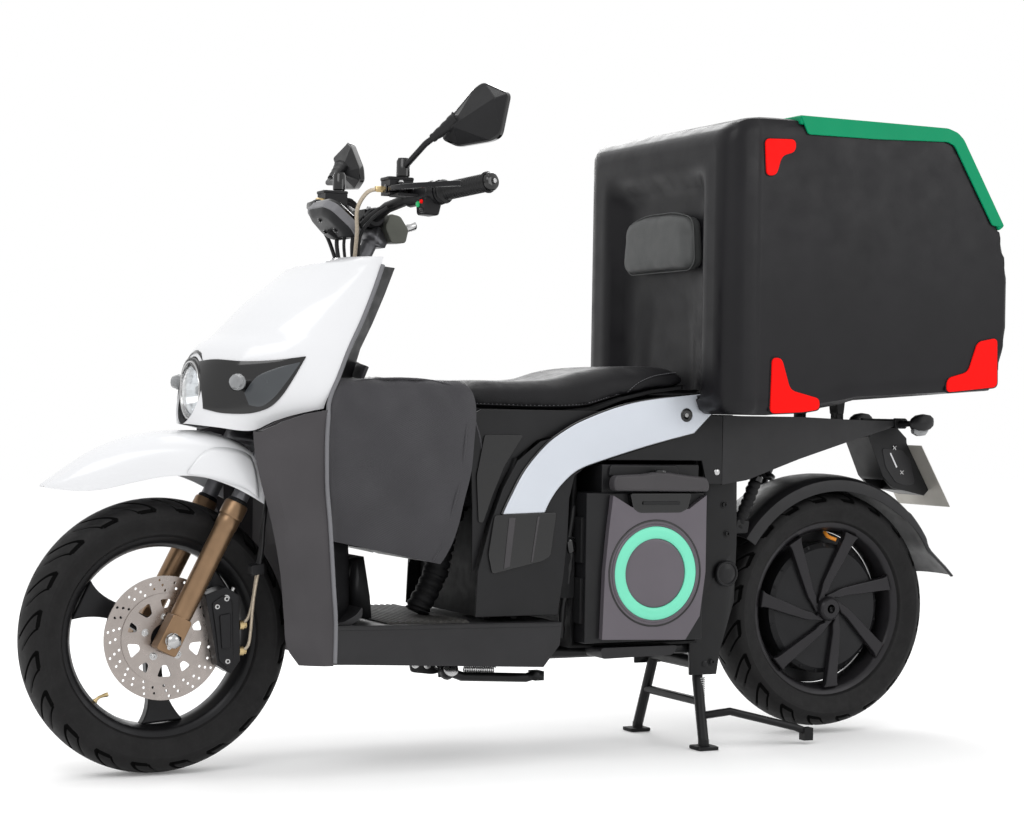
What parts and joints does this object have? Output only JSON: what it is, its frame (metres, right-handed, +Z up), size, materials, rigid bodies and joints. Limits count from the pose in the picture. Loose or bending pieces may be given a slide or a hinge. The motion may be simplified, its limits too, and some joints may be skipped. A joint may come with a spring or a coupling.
{
  "type": "moped scooter",
  "caption": "Electric delivery moped on its centre stand: step-through body, slide-out battery with trolley handle, sprung fork and swingarm, hinged seat and lidded rear cargo box.",
  "frame": {"origin": "centre of the bounding box in plan, on the ground plane under the tyre and stand feet", "axes": "+Z up, the scooter faces -Y, +X is the rider's left"},
  "size_m": [0.7588, 2.078, 1.294],
  "materials": {
    "white_paint": "gloss white moulding",
    "black_plastic": "fine-grained black moulding",
    "grey_plastic": "satin charcoal moulding",
    "silver_plastic": "satin silver-grey moulding",
    "frame_steel": "satin black coated steel",
    "black_alloy": "satin black coated alloy",
    "bronze_alloy": "bronze anodised",
    "bright_steel": "ground steel",
    "tyre_rubber": "matt rubber",
    "grip_rubber": "soft moulded rubber",
    "seat_vinyl": "grained vinyl",
    "apron_cloth": "coated woven cloth",
    "clear_lens": "clear lens",
    "mint_plastic": "translucent mint",
    "green_plastic": "satin green",
    "gunmetal": "satin gunmetal",
    "plate_metal": "blank painted plate"
  },
  "bodies": {
    "frame": {"chassis": "frame_steel", "leg_shield": "black_plastic", "inner_panel": "black_plastic", "front_cowl": "white_paint", "headlamp_housing": "black_plastic", "headlamp_lens": "clear_lens", "indicator_front_left": "clear_lens", "indicator_front_right": "clear_lens", "floor_deck": "black_plastic", "centre_body": "black_plastic", "cable_conduit": "black_plastic", "side_panel_left": "grey_plastic", "side_panel_right": "grey_plastic", "side_trim_left": "silver_plastic", "side_trim_right": "silver_plastic", "tail_panel": "grey_plastic", "plate_holder": "black_plastic", "number_plate": "plate_metal", "indicator_rear_left": "clear_lens", "indicator_rear_right": "clear_lens", "cargo_box": "black_plastic", "backrest_pad": "seat_vinyl", "apron": "apron_cloth"},
    "steering": {"fork_upper": "bright_steel", "front_mudguard": "white_paint", "handlebar": "black_alloy", "grip_left": "grip_rubber", "controls_left": "black_plastic", "controls_right": "black_plastic", "dashboard": "black_plastic"},
    "fork_lower": {"fork_slider_left": "bronze_alloy", "fork_slider_right": "bronze_alloy", "front_axle": "bright_steel", "front_caliper": "black_alloy", "front_brake_hose": "black_plastic"},
    "front_wheel": {"front_tyre": "tyre_rubber", "front_rim": "black_alloy", "front_brake_disc": "bright_steel"},
    "throttle": {"throttle_grip": "grip_rubber"},
    "lever_left": {"brake_lever_left": "bright_steel"},
    "lever_right": {"brake_lever_right": "bright_steel"},
    "mirror_left_head": {"mirror_left": "black_plastic"},
    "mirror_right_head": {"mirror_right": "black_plastic"},
    "cargo_lid": {"cargo_lid": "green_plastic"},
    "seat_unit": {"seat": "seat_vinyl", "seat_pan": "black_plastic"},
    "battery": {"battery_case": "grey_plastic", "battery_face": "gunmetal", "battery_ring": "mint_plastic"},
    "battery_pull": {"battery_handle": "black_plastic"},
    "battery_rollers": {"battery_wheels": "black_plastic"},
    "rear_arm": {"swingarm": "black_alloy", "hugger": "black_plastic"},
    "rear_wheel": {"rear_tyre": "tyre_rubber", "rear_rim": "black_alloy"},
    "shock_upper": {"shock_body": "black_alloy", "shock_spring": "black_alloy"},
    "shock_lower": {"shock_rod": "bright_steel"},
    "stand_centre": {"centre_stand": "frame_steel"},
    "stand_side": {"side_stand": "frame_steel"}
  },
  "joints": [
    {"name": "steering_turn", "type": "hinge", "parent": "frame", "child": "steering", "pos_m": [0, -0.751, 0.241], "axis": [0, 0.454, 0.891], "range_deg": [-28, 28]},
    {"name": "fork_slide", "type": "slide", "parent": "steering", "child": "fork_lower", "axis": [0, 0.454, 0.891], "range_m": [-0.02, 0.05], "stiffness_N_per_m": 16000, "springref_m": -0.03, "deforming": ["front_brake_hose"]},
    {"name": "front_wheel_spin", "type": "hinge", "parent": "fork_lower", "child": "front_wheel", "pos_m": [0, -0.782, 0.257], "axis": [1, 0, 0], "continuous": true},
    {"name": "throttle_twist", "type": "hinge", "parent": "steering", "child": "throttle", "pos_m": [-0.345, -0.268, 1.108], "axis": [-0.9234, 0.3694, 0.1042], "range_deg": [-65, 0], "stiffness_Nm_per_rad": 0.4},
    {"name": "lever_left_pull", "type": "hinge", "parent": "steering", "child": "lever_left", "pos_m": [0.186, -0.377, 1.1], "axis": [0, 0, 1], "range_deg": [0, 9], "stiffness_Nm_per_rad": 8, "springref_deg": -5.73},
    {"name": "lever_right_pull", "type": "hinge", "parent": "steering", "child": "lever_right", "pos_m": [-0.186, -0.377, 1.1], "axis": [0, 0, -1], "range_deg": [0, 9], "stiffness_Nm_per_rad": 8, "springref_deg": -5.73},
    {"name": "mirror_left_swivel", "type": "hinge", "parent": "steering", "child": "mirror_left_head", "pos_m": [0.28288, -0.30844, 1.22688], "axis": [0, 0, 1], "range_deg": [-15, 15]},
    {"name": "mirror_right_swivel", "type": "hinge", "parent": "steering", "child": "mirror_right_head", "pos_m": [-0.28492, -0.30512, 1.18828], "axis": [0, 0, 1], "range_deg": [-15, 15]},
    {"name": "lid_open", "type": "hinge", "parent": "frame", "child": "cargo_lid", "pos_m": [0, 0.452, 1.291], "axis": [1, 0, 0], "range_deg": [0, 70]},
    {"name": "seat_open", "type": "hinge", "parent": "frame", "child": "seat_unit", "pos_m": [0, -0.186, 0.676], "axis": [1, 0, 0], "range_deg": [0, 35]},
    {"name": "battery_slide", "type": "slide", "parent": "frame", "child": "battery", "axis": [1, 0, 0], "range_m": [0, 0.34]},
    {"name": "battery_handle_slide", "type": "slide", "parent": "battery", "child": "battery_pull", "axis": [1, 0, 0], "range_m": [0, 0.2]},
    {"name": "battery_wheels_spin", "type": "hinge", "parent": "battery", "child": "battery_rollers", "pos_m": [-0.124, 0.167, 0.256], "axis": [0, 1, 0], "continuous": true},
    {"name": "swingarm_pivot", "type": "hinge", "parent": "frame", "child": "rear_arm", "pos_m": [0, 0.4, 0.358], "axis": [1, 0, 0], "range_deg": [0, 3.4], "stiffness_Nm_per_rad": 900, "springref_deg": -17.19},
    {"name": "rear_wheel_spin", "type": "hinge", "parent": "rear_arm", "child": "rear_wheel", "pos_m": [0, 0.712, 0.27], "axis": [1, 0, 0], "continuous": true},
    {"name": "shock_swing", "type": "hinge", "parent": "frame", "child": "shock_upper", "pos_m": [-0.11, 0.662, 0.592], "axis": [1, 0, 0], "range_deg": [-1.6, 0.5]},
    {"name": "shock_stroke", "type": "slide", "parent": "shock_upper", "child": "shock_lower", "axis": [0, 0.4695, 0.8829], "range_m": [-0.001, 0.01], "deforming": ["shock_spring"]},
    {"name": "centre_stand_fold", "type": "hinge", "parent": "frame", "child": "stand_centre", "pos_m": [0, 0.356, 0.172], "axis": [1, 0, 0], "range_deg": [0, 78], "stiffness_Nm_per_rad": 6},
    {"name": "side_stand_swing", "type": "hinge", "parent": "frame", "child": "stand_side", "pos_m": [0.13, -0.236, 0.182], "axis": [-0.9063, 0, -0.4226], "range_deg": [0, 95]}
  ],
  "couplings": [
    {"joint": "shock_swing", "follows": "swingarm_pivot", "ratio": -0.3469},
    {"joint": "shock_stroke", "follows": "swingarm_pivot", "m_per_rad": 0.11813}
  ]
}
